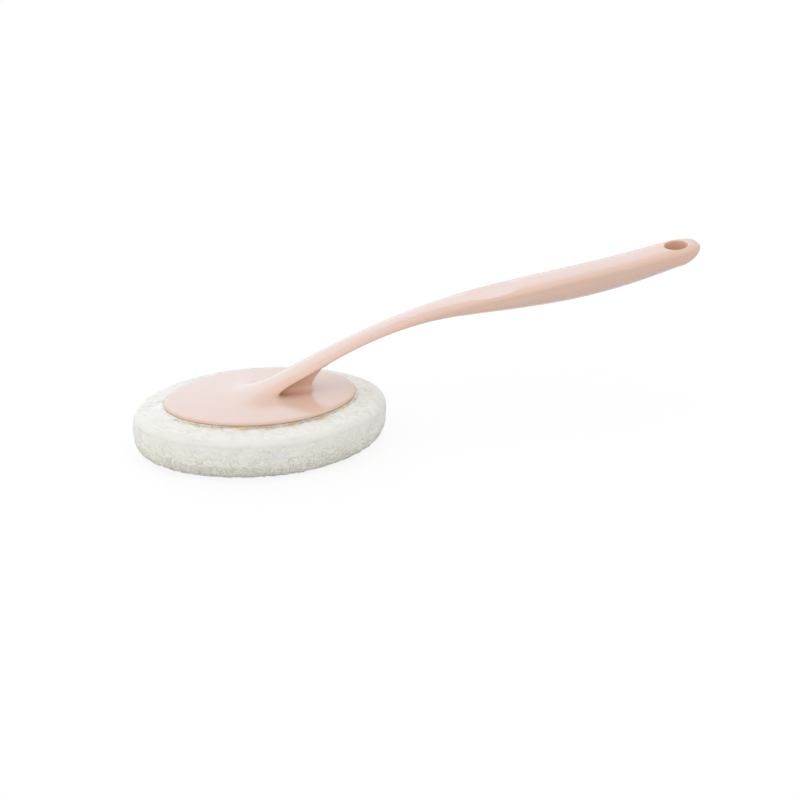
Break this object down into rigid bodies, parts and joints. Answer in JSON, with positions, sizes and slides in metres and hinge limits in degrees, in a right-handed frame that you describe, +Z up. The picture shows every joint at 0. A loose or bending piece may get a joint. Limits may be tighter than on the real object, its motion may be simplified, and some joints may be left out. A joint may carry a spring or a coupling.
{
  "type": "bathtub brush",
  "caption": "Long-handled tub scrubber: a moulded handle with an oval plate holds a thick oval fibre pad on hook tape; the grip ends in a hanging hole.",
  "frame": {"origin": "middle of the pad's flat underside, which rests on the floor", "axes": "+X along the pad's long axis towards the end of the handle, +Y to the left seen from behind the pad, +Z up from the underside"},
  "size_m": [0.32, 0.1, 0.0845],
  "materials": {
    "pink_plastic": "pale pink injection-moulded polypropylene, satin",
    "hook_nylon": "moulded nylon hook tape, off-white",
    "brushed_fibre": "brushed fibre face, white, soft",
    "fine_fibre": "dense fine fibre wadding, cream-white",
    "coarse_fibre": "open coarse scouring fibre, mottled greenish cream"
  },
  "bodies": {
    "pad": {"pad_scrub_face": "coarse_fibre", "pad_body": "fine_fibre", "pad_loop_face": "brushed_fibre"},
    "handle": {"handle": "pink_plastic", "hook_tape": "hook_nylon"}
  },
  "joints": [
    {"name": "pad_pull_off", "type": "slide", "parent": "pad", "child": "handle", "axis": [0, 0, 1], "range_m": [0, 0.04]}
  ]
}
